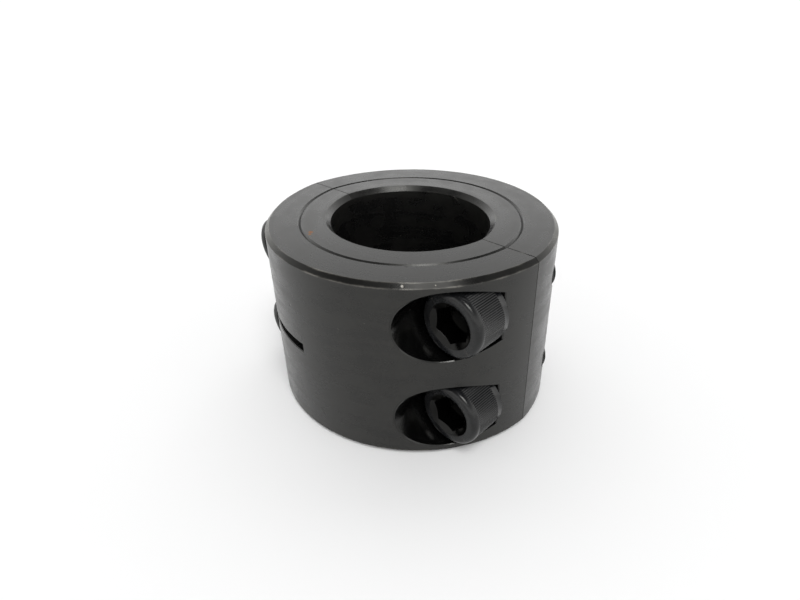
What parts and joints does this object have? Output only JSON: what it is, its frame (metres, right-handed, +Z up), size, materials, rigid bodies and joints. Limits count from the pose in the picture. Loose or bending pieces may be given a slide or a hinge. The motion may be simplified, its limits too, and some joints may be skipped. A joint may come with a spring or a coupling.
{
  "type": "rigid sleeve coupling",
  "caption": "Split rigid sleeve coupling that clamps two shaft ends in one plain bore with socket head cap screws across the split.",
  "frame": {"origin": "on the bore axis in the bottom end face, in the split plane with the halves closed", "axes": "+Z up the bore axis, +X along the split towards the side with no slot, +Y across the split from the screw heads' half to the tapped half"},
  "size_m": [0.0444, 0.0418, 0.0273],
  "materials": {
    "black_oxide_sleeve": "turned steel, black oxide, lightly oiled satin",
    "black_oxide_screw": "alloy steel screw, knurled head, blue-black oxide"
  },
  "bodies": {
    "front_half": {"front_half": "black_oxide_sleeve"},
    "rear_half": {"rear_half": "black_oxide_sleeve"},
    "screw_right_upper": {"cap_screw_right_upper": "black_oxide_screw"},
    "screw_right_lower": {"cap_screw_right_lower": "black_oxide_screw"},
    "screw_left_upper": {"cap_screw_left_upper": "black_oxide_screw"},
    "screw_left_lower": {"cap_screw_left_lower": "black_oxide_screw"}
  },
  "joints": [
    {"name": "screw_right_upper_turn", "type": "hinge", "parent": "front_half", "child": "screw_right_upper", "pos_m": [0.01746, -0.00545, 0.0209], "axis": [0, 1, 0], "range_deg": [-1071.5, 0]},
    {"name": "screw_right_lower_turn", "type": "hinge", "parent": "front_half", "child": "screw_right_lower", "pos_m": [0.01746, -0.00545, 0.0064], "axis": [0, 1, 0], "range_deg": [-1071.5, 0]},
    {"name": "screw_left_upper_turn", "type": "hinge", "parent": "front_half", "child": "screw_left_upper", "pos_m": [-0.01746, -0.0059, 0.0209], "axis": [0, 1, 0], "range_deg": [-1071.5, 0]},
    {"name": "screw_left_lower_turn", "type": "hinge", "parent": "front_half", "child": "screw_left_lower", "pos_m": [-0.01746, -0.0059, 0.0064], "axis": [0, 1, 0], "range_deg": [-1071.5, 0]},
    {"name": "rear_half_draw", "type": "slide", "parent": "front_half", "child": "rear_half", "axis": [0, 1, 0], "range_m": [0, 0.0027]}
  ],
  "couplings": [
    {"joint": "screw_right_upper_turn", "follows": "rear_half_draw", "rad_per_m": -6926.3},
    {"joint": "screw_right_lower_turn", "follows": "rear_half_draw", "rad_per_m": -6926.3},
    {"joint": "screw_left_upper_turn", "follows": "rear_half_draw", "rad_per_m": -6926.3},
    {"joint": "screw_left_lower_turn", "follows": "rear_half_draw", "rad_per_m": -6926.3}
  ]
}
